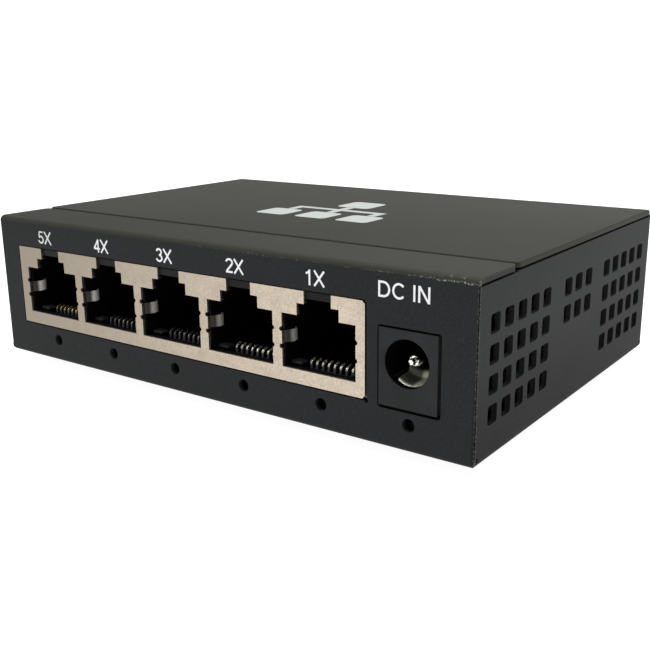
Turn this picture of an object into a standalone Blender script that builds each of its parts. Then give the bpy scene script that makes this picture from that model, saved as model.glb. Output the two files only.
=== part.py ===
"""Five-port desktop network switch in a folded steel case.

Run with: blender --background --python part.py

Dimensions are millimetres in the case's own directions: x from the case's left edge, y from the
front panel's outer face towards the back, z from the underside of the case. The empty "case_frame"
carries them into the world, where the origin is the centre of the whole object's footprint, on the
surface that the feet stand on.
"""

import math

import bmesh
import bpy
from mathutils import Matrix, Vector

MM = 0.001
GAP = 0.3  # clearance between pieces that meet
TINY = 1e-4  # how near a point counts as on a plane

# Case
WIDTH = 92.5
DEPTH = 63.9
SHEET = 0.8
BEND = 0.6  # outer radius of the folds along the floor
STRIP_BEND = 1.0
STRIP_TOP = 24.3  # top of the strip folded back from the front panel
STRIP_DEPTH = 10.3
COVER_TOP = 24.45
COVER_CORNER = 0.8
COVER_EDGE = 0.25  # rounding of the cover's upper edge
FLANGE_WIDTH = 4.0  # inward fold along the top of each side wall
SIDE_TOP = COVER_TOP - SHEET - GAP
FOOT_HEIGHT = 1.5
FOOT_RADIUS = 4.5
FOOT_INSET = 9.0
COVER_SCREW_HEAD = 1.1
COVER_SCREW_REACH = 4.6

# Corner slits between the front or rear panel and the side walls
SLIT = 0.2
SLIT_FOOT = 1.25
SLIT_REACH = 2.1
RELIEF = 0.32  # radius of the relief hole at the foot of a slit

# Side vents: square holes in three groups, mirrored about the middle of the side
VENT = 2.6
VENT_CHAMFER = 0.4
VENT_PITCH_Y = 3.95
VENT_PITCH_Z = 3.97
VENT_LOW_Z = 6.02
VENT_ROWS = 4
VENT_FRONT_Y = 4.6
VENT_COLUMNS = 5
MIDDLE_COLUMNS = 3
MIDDLE_FIRST_ROW = 2

# Five ganged sockets
PORTS = 5
PORT_PITCH = 13.97
FIRST_PORT_X = 12.8
OPENING_HALF = (6.17, 3.5, 2.26)  # half-widths of the plug body, the shoulder and the latch slot
OPENING_Z = (8.1, 15.9, 17.6, 19.4)
SHIELD_LOW = (4.7, 0.0, 6.05)
SHIELD_HIGH = (76.3, 15.8, 19.4)
SHIELD_SHEET = 0.4
HOUSING_HALF = 6.8
CAVITY_END = 12.5
TAB_Z = (11.3, 13.05)
TAB_SHEET = 0.26
NOTCH = (0.36, 0.42)  # the slots above and below a tab: height, and reach into the face

# Contacts of one socket
CONTACTS = 8
CONTACT_PITCH = 1.016
CONTACT_WIDTH = 0.42
CONTACT_THICK = 0.34
CONTACT_HINGE = (3.7, 8.15)  # y and z of the bend that the contacts flex about
CONTACT_TIP = (10.8, 11.05)
CONTACT_BEND = 0.42

# Circuit board
BOARD_LOW = (2.6, 1.6, 4.35)
BOARD_HIGH = (89.9, 61.1, 5.55)
BOARD_SCREWS = ((5.6, 20.0), (86.9, 20.0), (5.6, 45.2), (86.9, 45.2))
BOARD_HOLE = 1.6
STANDOFF = 2.7
STANDOFF_FOOT = 1.6
STANDOFF_BORE = 1.25
FLOOR_HOLE = 1.95
SEAT_Z = BOARD_HIGH[2] + GAP

# Power socket
POWER_X = 82.8
POWER_LOW = (78.45, 0.0, 5.85)
POWER_HIGH = (87.15, 14.0, 16.4)
POWER_AXIS_Z = 12.15
POWER_BORE = 3.25
POWER_BORE_END = 10.0
POWER_PIN = 1.0
LEAF_HALF = 1.4
LEAF_ROOM_Z = (7.25, 9.55)
LEAF_HINGE = (10.6, 8.5)
LEAF_PATH = ((6.2, 9.25), (4.6, 9.65), (3.4, 9.5), (2.5, 8.95))  # y and z from the hinge to the tip

# Indicator lamps under the board, behind round holes in the front panel
LAMP_Z = 3.8
LAMP_HOLE = 0.95
LAMP_SHIFT = 0.4
POWER_LAMP_X = 83.0

# Cover screws in the rear panel
COVER_SCREWS_X = (20.0, 72.5)
COVER_SCREW_Z = 19.0
COVER_FLANGE_Z = 15.5
SCREW_HOLE = 1.55
SCREW_SHANK = 1.2

KEYHOLES_X = (21.5, 71.0)
KEYHOLE_Y = 36.0

# Packages on the board: the low corner in the board's plane, the size, and the chamfer of the top
PACKAGES = {
    "magnetics_1": ((11.0, 19.0), (15.0, 9.4, 5.2), 0.5),
    "magnetics_2": ((31.5, 19.0), (15.0, 9.4, 5.2), 0.5),
    "magnetics_3": ((52.0, 19.0), (15.0, 9.4, 5.2), 0.5),
    "switch_chip": ((38.0, 36.0), (14.0, 14.0, 1.4), 0.3),
    "memory_chip": ((60.0, 45.0), (5.0, 4.0, 1.5), 0.3),
    "regulator_chip": ((72.0, 30.0), (6.5, 6.0, 1.7), 0.3),
    "power_inductor": ((70.0, 39.0), (7.0, 7.0, 3.2), 0.9),
    "crystal": ((24.0, 40.0), (10.5, 4.2, 3.4), 0.6),
}
CAPACITORS = {"capacitor_1": (82.5, 28.5), "capacitor_2": (82.5, 37.5)}
CAPACITOR_RADIUS = 3.15
CAPACITOR_HEIGHT = 7.6


def port_x(index):
    return FIRST_PORT_X + index * PORT_PITCH


# ---- scene and materials ----

def clear_scene():
    for obj in list(bpy.data.objects):
        bpy.data.objects.remove(obj, do_unlink=True)


def material(name, colour, roughness, metallic=0.0):
    made = bpy.data.materials.new(name)
    made.use_nodes = True
    shader = made.node_tree.nodes["Principled BSDF"]
    shader.inputs["Base Color"].default_value = (*colour, 1.0)
    shader.inputs["Roughness"].default_value = roughness
    shader.inputs["Metallic"].default_value = metallic
    made.diffuse_color = (*colour, 1.0)
    return made


def make_frame():
    frame = bpy.data.objects.new("case_frame", None)
    frame.location = (-WIDTH / 2 * MM, -(DEPTH + GAP + COVER_SCREW_HEAD) / 2 * MM, FOOT_HEIGHT * MM)
    bpy.context.scene.collection.objects.link(frame)
    return frame


class Builder:
    """Turns shapes in case coordinates into placed objects."""

    def __init__(self, frame):
        self.frame = frame

    def place(self, name, shape, surface=None, origin=(0.0, 0.0, 0.0), smooth=False):
        """An object whose own origin is the given point of the case."""
        bmesh.ops.translate(shape, verts=shape.verts, vec=-Vector(origin))
        bmesh.ops.scale(shape, verts=shape.verts, vec=(MM, MM, MM))
        bmesh.ops.recalc_face_normals(shape, faces=shape.faces)
        mesh = bpy.data.meshes.new(name)
        shape.to_mesh(mesh)
        shape.free()
        if smooth:
            mesh.shade_smooth()
            mesh.set_sharp_from_angle(angle=math.radians(35.0))
        if surface:
            mesh.materials.append(surface)
        obj = bpy.data.objects.new(name, mesh)
        obj.location = Vector(origin) * MM
        obj.parent = self.frame
        bpy.context.scene.collection.objects.link(obj)
        return obj

    def combine(self, target, name, shape, operation="DIFFERENCE"):
        """A Boolean on target with a helper that isn't drawn."""
        helper = self.place(name, shape)
        helper.hide_render = True
        helper.display_type = "WIRE"
        step = target.modifiers.new(name, "BOOLEAN")
        step.operation = operation
        step.solver = "EXACT"
        step.object = helper


# ---- shapes, as bmesh in case coordinates ----

def box(low, high):
    shape = bmesh.new()
    bmesh.ops.create_cube(shape, size=1.0)
    size = Vector(high) - Vector(low)
    bmesh.ops.scale(shape, verts=shape.verts, vec=size)
    bmesh.ops.translate(shape, verts=shape.verts, vec=(Vector(high) + Vector(low)) / 2)
    return shape


def prism(outline, axis, low, high):
    """The outline's points are in the two other directions, in x, y, z order."""
    shape = bmesh.new()
    corners = []
    for first, second in outline:
        point = [first, second]
        point.insert(axis, low)
        corners.append(shape.verts.new(point))
    base = shape.faces.new(corners)
    grown = bmesh.ops.extrude_face_region(shape, geom=[base])
    moved = [item for item in grown["geom"] if isinstance(item, bmesh.types.BMVert)]
    shift = [0.0, 0.0, 0.0]
    shift[axis] = high - low
    bmesh.ops.translate(shape, verts=moved, vec=shift)
    return shape


def turned(profile, centre, axis, sides):
    """A turned solid: profile is (distance along the axis, radius), end to end."""
    shape = bmesh.new()
    rings = []
    for along, radius in profile:
        ring = []
        for index in range(sides):
            angle = 2.0 * math.pi * index / sides
            point = [centre[0] + radius * math.cos(angle), centre[1] + radius * math.sin(angle)]
            point.insert(axis, along)
            ring.append(shape.verts.new(point))
        rings.append(ring)
    for lower, upper in zip(rings, rings[1:]):
        for index in range(sides):
            after = (index + 1) % sides
            shape.faces.new((lower[index], lower[after], upper[after], upper[index]))
    shape.faces.new(rings[0])
    shape.faces.new(rings[-1])
    return shape


def joined(shapes):
    """Shapes that stay apart from each other, in one bmesh."""
    whole = bmesh.new()
    for shape in shapes:
        spare = bpy.data.meshes.new("spare")
        shape.to_mesh(spare)
        shape.free()
        whole.from_mesh(spare)
        bpy.data.meshes.remove(spare)
    return whole


def bevel_where(shape, test, width, segments):
    """Rounds the edges whose two ends both pass the test."""
    edges = [edge for edge in shape.edges if all(test(vert.co) for vert in edge.verts)]
    bmesh.ops.bevel(shape, geom=edges, offset=width, segments=segments, profile=0.5, affect="EDGES")


def rounded_outline(low, high, radius, segments):
    """A rectangle with round corners."""
    points = []
    corners = ((high[0], high[1], 0), (low[0], high[1], 1), (low[0], low[1], 2), (high[0], low[1], 3))
    for x, y, quarter in corners:
        middle_x = x - radius if quarter in (0, 3) else x + radius
        middle_y = y - radius if quarter in (0, 1) else y + radius
        for step in range(segments + 1):
            angle = math.pi / 2 * (quarter + step / segments)
            points.append((middle_x + radius * math.cos(angle), middle_y + radius * math.sin(angle)))
    return points


def strip_outline(path, thickness):
    """The outline of a thin strip that follows a path of points."""
    points = [Vector(point) for point in path]
    left, right = [], []
    for index, point in enumerate(points):
        before = points[max(index - 1, 0)]
        after = points[min(index + 1, len(points) - 1)]
        along = (after - before).normalized()
        side = Vector((-along.y, along.x)) * thickness / 2
        left.append(tuple(point + side))
        right.append(tuple(point - side))
    return left + right[::-1]


# ---- sheet metal ----

def vent_places():
    """(y, z) of every vent in one side wall."""
    last = DEPTH - VENT_FRONT_Y - (VENT_COLUMNS - 1) * VENT_PITCH_Y
    middle = (DEPTH - (MIDDLE_COLUMNS - 1) * VENT_PITCH_Y) / 2
    groups = (
        (VENT_FRONT_Y, VENT_COLUMNS, 0),
        (middle, MIDDLE_COLUMNS, MIDDLE_FIRST_ROW),
        (last, VENT_COLUMNS, 0),
    )
    places = []
    for start, columns, first_row in groups:
        for column in range(columns):
            for row in range(first_row, VENT_ROWS):
                places.append((start + column * VENT_PITCH_Y, VENT_LOW_Z + row * VENT_PITCH_Z))
    return places


def vent_cutter():
    shapes = []
    for y, z in vent_places():
        low = (y - VENT / 2, z - VENT / 2)
        high = (y + VENT / 2, z + VENT / 2)
        shapes.append(prism(rounded_outline(low, high, VENT_CHAMFER, 1), 0, -1.0, WIDTH + 1.0))
    return joined(shapes)


def lamp_places():
    return [port_x(index) + LAMP_SHIFT for index in range(PORTS)] + [POWER_LAMP_X]


def front_cutter():
    """Cut-outs in the front panel for the sockets and the lamps."""
    back = SHEET + 0.4
    sockets = prism(
        rounded_outline(
            (SHIELD_LOW[0] - GAP, SHIELD_LOW[2] - GAP),
            (SHIELD_HIGH[0] + GAP, SHIELD_HIGH[2] + GAP),
            0.4,
            1,
        ),
        1,
        -1.0,
        back,
    )
    power = prism(
        rounded_outline(
            (POWER_LOW[0] - GAP, POWER_LOW[2] - GAP), (POWER_HIGH[0] + 1.3 * GAP, POWER_HIGH[2] + GAP), 0.5, 2
        ),
        1,
        -1.0,
        back,
    )
    lamps = [turned(((-1.0, LAMP_HOLE), (back, LAMP_HOLE)), (x, LAMP_Z), 1, 12) for x in lamp_places()]
    return joined([sockets, power] + lamps)


def slit_cutter(corner_x, corner_y, top):
    """A thin upright slot along the mitre of one corner, with a relief hole at its foot."""
    inward_x = 1.0 if corner_x < WIDTH / 2 else -1.0
    inward_y = 1.0 if corner_y < DEPTH / 2 else -1.0
    along = Vector((inward_x, inward_y)).normalized()
    across = Vector((-along.y, along.x)) * SLIT / 2
    start = Vector((corner_x, corner_y)) - along * 0.5
    end = start + along * (0.5 + SLIT_REACH)
    outline = [tuple(start + across), tuple(end + across), tuple(end - across), tuple(start - across)]
    return prism(outline, 2, SLIT_FOOT, top)


def relief_cutter(corner_x, corner_y):
    shape = turned(((-2.0, RELIEF), (2.0, RELIEF)), (0.0, 0.0), 0, 10)
    inward_x = 1.0 if corner_x < WIDTH / 2 else -1.0
    inward_y = 1.0 if corner_y < DEPTH / 2 else -1.0
    turn = Matrix.Rotation(math.atan2(inward_y, inward_x), 3, "Z")
    bmesh.ops.rotate(shape, verts=shape.verts, matrix=turn)
    bmesh.ops.translate(shape, verts=shape.verts, vec=(corner_x, corner_y, SLIT_FOOT))
    return shape


def keyhole_outline(x, y):
    """A round head with a narrow neck towards the back."""
    head, neck = 3.5, 1.9
    bottom = math.asin(neck / head)
    points = []
    for step in range(13):
        angle = math.pi / 2 + bottom + (2.0 * math.pi - 2.0 * bottom) * step / 12
        points.append((x + head * math.cos(angle), y + head * math.sin(angle)))
    for step in range(5):
        angle = math.pi * step / 4
        points.append((x + neck * math.cos(angle), y + 6.5 + neck * math.sin(angle)))
    return points


def make_chassis(build, surface):
    """Floor, front with its top strip, vented sides with top flanges, and rear: one folded sheet."""
    shell = box((0.0, 0.0, 0.0), (WIDTH, DEPTH, STRIP_TOP))

    bevel_where(shell, lambda point: point.z < TINY, BEND, 3)
    bevel_where(shell, lambda point: point.y < TINY and point.z > STRIP_TOP - TINY, STRIP_BEND, 3)
    chassis = build.place("chassis", shell, surface)

    flange_under = SIDE_TOP - SHEET
    strip_under = STRIP_TOP - SHEET
    inner_x = (SHEET, WIDTH - SHEET)
    seam = STRIP_DEPTH
    rooms = {
        "cut_room": box((inner_x[0], SHEET, SHEET), (inner_x[1], DEPTH - SHEET, flange_under)),
        "cut_under_strip": box((inner_x[0], SHEET, 20.0), (inner_x[1], seam + GAP, strip_under)),
        "cut_over_sides": box((-1.0, seam, SIDE_TOP), (WIDTH + 1.0, DEPTH + 1.0, 26.0)),
        "cut_mouth": box((FLANGE_WIDTH, seam, 20.0), (WIDTH - FLANGE_WIDTH, DEPTH - SHEET, 26.0)),
    }
    for name, shape in rooms.items():
        build.combine(chassis, name, shape)

    for side, low, high in (("left", -1.0, 1.5), ("right", WIDTH - 1.5, WIDTH + 1.0)):
        under_strip = box((low, 0.3, strip_under - GAP), (high, seam + GAP, strip_under))
        build.combine(chassis, f"cut_{side}_under_strip", under_strip)
        behind_strip = box((low, seam, strip_under - GAP), (high, seam + GAP, 26.0))
        build.combine(chassis, f"cut_{side}_behind_strip", behind_strip)

    corners = [(x, y) for y in (0.0, DEPTH) for x in (0.0, WIDTH)]
    tops = [strip_under - GAP / 2, strip_under - GAP / 2, 26.0, 26.0]
    slits = [slit_cutter(x, y, top) for (x, y), top in zip(corners, tops)]
    build.combine(chassis, "cut_slits", joined(slits))
    build.combine(chassis, "cut_reliefs", joined([relief_cutter(x, y) for x, y in corners]))
    build.combine(chassis, "cut_vents", vent_cutter())
    build.combine(chassis, "cut_front", front_cutter())

    floor = [prism(keyhole_outline(x, KEYHOLE_Y), 2, -1.0, SHEET + 0.5) for x in KEYHOLES_X]
    hole_profile = ((-1.0, FLOOR_HOLE), (SHEET + 0.5, FLOOR_HOLE))
    floor += [turned(hole_profile, place, 2, 12) for place in BOARD_SCREWS]
    build.combine(chassis, "cut_floor", joined(floor))
    rear = [
        turned(((DEPTH - SHEET - 0.5, SCREW_HOLE), (DEPTH + 1.0, SCREW_HOLE)), (x, COVER_SCREW_Z), 1, 12)
        for x in COVER_SCREWS_X
    ]
    build.combine(chassis, "cut_rear", joined(rear))


def make_cover(build, surface):
    """Top plate with two tongues that hook under the strip and a rear flange that takes the screws."""
    under = COVER_TOP - SHEET
    front = STRIP_DEPTH + GAP
    outline = rounded_outline((0.0, front), (WIDTH, DEPTH), COVER_CORNER, 4)
    plate = prism(outline, 2, under, COVER_TOP)
    bevel_where(plate, lambda point: point.z > COVER_TOP - TINY, COVER_EDGE, 2)
    cover = build.place("top_cover", plate, surface)

    flange_back = DEPTH - SHEET - GAP
    flange = box((8.0, flange_back - SHEET, COVER_FLANGE_Z), (WIDTH - 8.0, flange_back, under + 0.3))
    build.combine(cover, "add_flange", flange, "UNION")
    tongue_top = STRIP_TOP - SHEET - GAP
    profile = (
        (front - 4.0, tongue_top - SHEET),
        (front + 2.4, tongue_top - SHEET),
        (front + 2.4, under + 0.3),
        (front + 1.2, under + 0.3),
        (front + 1.2, tongue_top),
        (front - 4.0, tongue_top),
    )
    tongues = [prism(profile, 0, x, x + 12.0) for x in (16.0, WIDTH - 28.0)]
    build.combine(cover, "add_tongues", joined(tongues), "UNION")
    holes = [
        turned(((flange_back - 3.0, SCREW_HOLE), (flange_back + 1.0, SCREW_HOLE)), (x, COVER_SCREW_Z), 1, 12)
        for x in COVER_SCREWS_X
    ]
    build.combine(cover, "cut_cover_holes", joined(holes))


# ---- sockets ----

def opening_outline(x, top):
    """The stepped opening of one socket, with its latch slot at the top."""
    wide, shoulder, latch = OPENING_HALF
    low, body, step = OPENING_Z[:3]
    half = [(wide, low), (wide, body), (shoulder, body), (shoulder, step), (latch, step), (latch, top)]
    return [(x + across, z) for across, z in half] + [(x - across, z) for across, z in reversed(half)]


def tab_outline(x, side):
    """One grounding tab seen from above: it leaves the face, bulges into the socket and turns back."""
    wide = OPENING_HALF[0]
    path = ((wide + 0.35, 0.2), (wide - 0.08, 0.24), (wide - 0.3, 0.7), (wide - 0.48, 1.4), (wide - 0.5, 2.0))
    path += ((wide - 0.36, 2.7), (wide - 0.05, 3.5))
    return strip_outline([(x + side * across, y) for across, y in path], TAB_SHEET)


def make_shield(build, surface):
    """One metal shield over all five sockets, open underneath."""
    shield = build.place("jack_shield", box(SHIELD_LOW, SHIELD_HIGH), surface)
    low = Vector(SHIELD_LOW) + Vector((SHIELD_SHEET, SHIELD_SHEET, -1.0))
    high = Vector(SHIELD_HIGH) - Vector((SHIELD_SHEET, SHIELD_SHEET, SHIELD_SHEET))
    build.combine(shield, "cut_shield_room", box(low, high))
    openings = [prism(opening_outline(port_x(i), 20.5), 1, -0.6, SHIELD_SHEET + 0.5) for i in range(PORTS)]
    build.combine(shield, "cut_openings", joined(openings))

    notches, tabs = [], []
    for index in range(PORTS):
        for side in (-1.0, 1.0):
            edge = port_x(index) + side * OPENING_HALF[0]
            ends = sorted((edge - side * 0.3, edge + side * NOTCH[1]))
            for z in (TAB_Z[0] - NOTCH[0], TAB_Z[1]):
                notches.append(box((ends[0], -0.6, z), (ends[1], SHIELD_SHEET + 0.5, z + NOTCH[0])))
            tabs.append(prism(tab_outline(port_x(index), side), 2, *TAB_Z))
    build.combine(shield, "cut_tab_notches", joined(notches))
    build.combine(shield, "add_tabs", joined(tabs), "UNION")


def make_housing(build, index, surface):
    """Plastic socket body: a stepped cavity, side windows for the tabs, and a recess for the contacts."""
    x = port_x(index)
    front = SHIELD_SHEET + GAP
    back = SHIELD_HIGH[1] - SHIELD_SHEET - GAP
    top = SHIELD_HIGH[2] - SHIELD_SHEET - GAP
    low = (x - HOUSING_HALF, front, SEAT_Z)
    housing = build.place(f"port_housing_{index + 1}", box(low, (x + HOUSING_HALF, back, top)), surface)
    cavity = prism(opening_outline(x, top + 1.0), 1, front - 0.5, CAVITY_END)
    build.combine(housing, f"cut_cavity_{index + 1}", cavity)
    windows = []
    for side in (-1.0, 1.0):
        ends = sorted((x + side * 5.9, x + side * (HOUSING_HALF + 0.5)))
        windows.append(box((ends[0], front - 0.5, TAB_Z[0] - GAP), (ends[1], 4.6, TAB_Z[1] + GAP)))
    build.combine(housing, f"cut_windows_{index + 1}", joined(windows))
    recess_low = (x - 4.4, CONTACT_HINGE[0] - 1.1, SEAT_Z + 1.1)
    recess = box(recess_low, (x + 4.4, CAVITY_END - 2.0, OPENING_Z[0] + 0.6))
    build.combine(housing, f"cut_recess_{index + 1}", recess)


def contact_path():
    """The centre line of one contact, (y, z): a hairpin at the front, then a long rising beam."""
    hinge_y, hinge_z = CONTACT_HINGE
    radius = CONTACT_BEND
    path = [(hinge_y + 1.1, hinge_z - radius), (hinge_y, hinge_z - radius)]
    for step in range(1, 5):
        angle = -math.pi / 2 - math.pi * step / 5
        path.append((hinge_y + radius * math.cos(angle), hinge_z + radius * math.sin(angle)))
    path += [(hinge_y + 0.1, hinge_z + radius), CONTACT_TIP]
    return path


def make_contacts(build, index, surface):
    """The eight sprung contacts of one socket, held side by side by the bar that they flex about."""
    x = port_x(index)
    hinge = (x, *CONTACT_HINGE)
    first = x - CONTACT_PITCH * (CONTACTS - 1) / 2
    outline = strip_outline(contact_path(), CONTACT_THICK)
    blades = []
    for number in range(CONTACTS):
        middle = first + number * CONTACT_PITCH
        blades.append(prism(outline, 0, middle - CONTACT_WIDTH / 2, middle + CONTACT_WIDTH / 2))
    contacts = build.place(f"port_contacts_{index + 1}", joined(blades), surface, hinge)
    bar_low = (x - 4.1, CONTACT_HINGE[0] + 0.45, CONTACT_HINGE[1] - 0.52)
    bar = box(bar_low, (x + 4.1, CONTACT_HINGE[0] + 0.95, CONTACT_HINGE[1] - 0.3))
    build.combine(contacts, f"add_bar_{index + 1}", bar, "UNION")


def make_power_socket(build, plastic, bright, brass):
    body = build.place("dc_jack_body", box(POWER_LOW, POWER_HIGH), plastic)
    axis = (POWER_X, POWER_AXIS_Z)
    bore = turned(
        ((-0.5, POWER_BORE + 0.9), (0.4, POWER_BORE), (POWER_BORE_END, POWER_BORE)),
        axis,
        1,
        24,
    )
    build.combine(body, "cut_power_bore", bore)
    shaft = turned(((POWER_BORE_END - 0.5, POWER_PIN + GAP), (15.0, POWER_PIN + GAP)), axis, 1, 12)
    build.combine(body, "cut_power_shaft", shaft)
    half = LEAF_HALF + GAP
    room = box((POWER_X - half, 1.6, LEAF_ROOM_Z[0]), (POWER_X + half, 15.0, LEAF_ROOM_Z[1]))
    build.combine(body, "cut_leaf_room", room)

    pin_profile = (
        (1.9, POWER_PIN * 0.45),
        (2.2, POWER_PIN * 0.85),
        (2.7, POWER_PIN),
        (15.0, POWER_PIN),
    )
    build.place("dc_center_pin", turned(pin_profile, axis, 1, 16), bright, smooth=True)

    hinge = (POWER_X, *LEAF_HINGE)
    path = ((LEAF_HINGE[0] + 2.6, LEAF_HINGE[1]), LEAF_HINGE, *LEAF_PATH)
    leaf = prism(strip_outline(path, 0.3), 0, POWER_X - LEAF_HALF, POWER_X + LEAF_HALF)
    build.place("dc_leaf_spring", leaf, brass, hinge)

    tail_profile = rounded_outline((POWER_X - 1.4, SEAT_Z), (POWER_X + 1.4, POWER_AXIS_Z + 1.8), 0.6, 2)
    build.place("dc_pin_terminal", prism(tail_profile, 1, 15.3, 15.9), bright)


# ---- board and what it carries ----

def make_board(build, surface):
    board = build.place("circuit_board", box(BOARD_LOW, BOARD_HIGH), surface)
    holes = [turned(((3.0, BOARD_HOLE), (7.0, BOARD_HOLE)), place, 2, 12) for place in BOARD_SCREWS]
    build.combine(board, "cut_board_holes", joined(holes))


def make_standoffs_and_screws(build, steel, brass):
    """Each board screw goes down through the board into a standoff pressed into the floor."""
    top = BOARD_LOW[2] - GAP
    floor = SHEET + GAP
    profile = ((0.0, STANDOFF_FOOT), (floor, STANDOFF_FOOT), (floor, STANDOFF), (top, STANDOFF))
    for number, place in enumerate(BOARD_SCREWS, start=1):
        standoff = build.place(f"board_standoff_{number}", turned(profile, place, 2, 12), brass)
        hole = turned(((-1.0, STANDOFF_BORE), (top + 1.0, STANDOFF_BORE)), place, 2, 12)
        build.combine(standoff, f"cut_standoff_{number}", hole)
        head = SEAT_Z
        screw = ((1.0, 0.85), (head, 0.85), (head, 2.6), (head + 0.9, 2.4), (head + 1.5, 1.5))
        build.place(f"board_screw_{number}", turned(screw, place, 2, 12), steel, smooth=True)


def make_cover_screws(build, steel):
    head = DEPTH + GAP
    profile = (
        (DEPTH - COVER_SCREW_REACH, SCREW_SHANK),
        (head, SCREW_SHANK),
        (head, 2.7),
        (head + COVER_SCREW_HEAD * 0.5, 2.55),
        (head + COVER_SCREW_HEAD, 1.6),
    )
    for side, x in zip(("left", "right"), COVER_SCREWS_X):
        screw = turned(profile, (x, COVER_SCREW_Z), 1, 16)
        build.place(f"cover_screw_{side}", screw, steel, smooth=True)


def make_feet(build, rubber):
    places = {
        "front_left": (FOOT_INSET, FOOT_INSET),
        "front_right": (WIDTH - FOOT_INSET, FOOT_INSET),
        "rear_left": (FOOT_INSET, DEPTH - FOOT_INSET),
        "rear_right": (WIDTH - FOOT_INSET, DEPTH - FOOT_INSET),
    }
    profile = ((-GAP, FOOT_RADIUS), (-1.1, FOOT_RADIUS), (-FOOT_HEIGHT, FOOT_RADIUS - 0.5))
    for name, place in places.items():
        build.place(f"foot_{name}", turned(profile, place, 2, 20), rubber, smooth=True)


def make_lamps(build, surface):
    """Side-facing lamps under the front edge of the board."""
    top = BOARD_LOW[2] - GAP
    for number, x in enumerate(lamp_places(), start=1):
        name = f"port_lamp_{number}" if number <= PORTS else "power_lamp"
        shape = box((x - 0.8, SHEET + GAP, top - 1.0), (x + 0.8, 3.2, top))
        bevel_where(shape, lambda point: point.y < SHEET + GAP + TINY, 0.25, 1)
        build.place(name, shape, surface)


def make_package(build, name, surface):
    """A moulded component that stands on the board."""
    low, size, chamfer = PACKAGES[name]
    top = SEAT_Z + size[2]
    shape = box((*low, SEAT_Z), (low[0] + size[0], low[1] + size[1], top))
    bevel_where(shape, lambda point: point.z > top - TINY, chamfer, 1)
    build.place(name, shape, surface)


def make_can(build, name, surface):
    """An upright electrolytic capacitor with a pinched neck."""
    radius = CAPACITOR_RADIUS
    top = SEAT_Z + CAPACITOR_HEIGHT
    profile = (
        (SEAT_Z, radius),
        (SEAT_Z + 1.1, radius),
        (SEAT_Z + 1.4, radius - 0.3),
        (SEAT_Z + 1.7, radius),
        (top - 0.3, radius),
        (top, radius - 0.3),
    )
    build.place(name, turned(profile, CAPACITORS[name], 2, 16), surface, smooth=True)


def main():
    clear_scene()
    build = Builder(make_frame())
    coated = material("coated_steel", (0.022, 0.023, 0.026), 0.55)
    cover_coat = material("coated_cover", (0.022, 0.023, 0.025), 0.55)
    nickel = material("nickel_plate", (0.78, 0.72, 0.65), 0.32, 1.0)
    black = material("black_plastic", (0.012, 0.012, 0.013), 0.4)
    gold = material("gold_plate", (0.83, 0.62, 0.28), 0.25, 1.0)
    green = material("board_green", (0.02, 0.12, 0.05), 0.45)
    rubber = material("black_rubber", (0.02, 0.02, 0.02), 0.85)
    steel = material("zinc_steel", (0.55, 0.55, 0.57), 0.35, 1.0)
    brass = material("standoff_brass", (0.72, 0.55, 0.27), 0.35, 1.0)
    leaf_brass = material("leaf_brass", (0.74, 0.58, 0.30), 0.25, 1.0)
    bright = material("pin_metal", (0.8, 0.8, 0.8), 0.18, 1.0)
    lens = material("lamp_lens", (0.05, 0.09, 0.05), 0.25)
    chip = material("chip_plastic", (0.03, 0.03, 0.033), 0.5)
    can = material("capacitor_can", (0.62, 0.63, 0.65), 0.35, 1.0)

    make_chassis(build, coated)
    make_cover(build, cover_coat)
    make_shield(build, nickel)
    for index in range(PORTS):
        make_housing(build, index, black)
        make_contacts(build, index, gold)
    make_power_socket(build, black, bright, leaf_brass)
    make_board(build, green)
    make_standoffs_and_screws(build, steel, brass)
    make_cover_screws(build, steel)
    make_feet(build, rubber)
    make_lamps(build, lens)
    for name in PACKAGES:
        make_package(build, name, can if name == "crystal" else chip)
    for name in CAPACITORS:
        make_can(build, name, can)


main()
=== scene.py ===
"""Looks of the desktop network switch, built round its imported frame.

Sizes are millimetres in the case's own directions, as in the frame: x from the case's left edge,
y from the front panel's outer face towards the back, z from the underside of the case. place()
carries a shape into the frame's metres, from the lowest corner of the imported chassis.
"""

import math

import bmesh
import bpy
from mathutils import Matrix, Vector


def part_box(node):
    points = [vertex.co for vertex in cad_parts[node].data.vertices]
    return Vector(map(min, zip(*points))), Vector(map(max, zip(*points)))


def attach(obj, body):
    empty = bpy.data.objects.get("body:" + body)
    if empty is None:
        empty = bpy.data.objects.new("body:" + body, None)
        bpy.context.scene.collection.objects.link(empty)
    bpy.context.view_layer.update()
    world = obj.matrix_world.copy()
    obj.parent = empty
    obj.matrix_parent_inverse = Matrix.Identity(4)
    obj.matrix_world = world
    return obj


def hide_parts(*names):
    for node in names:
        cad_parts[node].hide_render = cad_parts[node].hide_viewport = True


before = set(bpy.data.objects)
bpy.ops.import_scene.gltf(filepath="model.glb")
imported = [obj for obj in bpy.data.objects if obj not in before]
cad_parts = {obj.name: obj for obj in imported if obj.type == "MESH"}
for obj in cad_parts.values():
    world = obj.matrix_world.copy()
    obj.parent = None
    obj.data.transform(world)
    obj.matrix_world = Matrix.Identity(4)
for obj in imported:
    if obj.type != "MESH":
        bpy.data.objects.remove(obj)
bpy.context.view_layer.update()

MM = 0.001
TINY = 1e-4
CASE_LOW, CASE_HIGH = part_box("chassis")


def in_case(point):
    """A point of the frame in case millimetres."""
    return (Vector(point) - CASE_LOW) / MM


def case_box(node):
    return [in_case(corner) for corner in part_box(node)]


def middle_of(node):
    """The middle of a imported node's box."""
    low, high = case_box(node)
    return [(near + far) / 2 for near, far in zip(low, high)]


# ---- sizes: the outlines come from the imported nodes, the rest is detail inside them ----

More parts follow.
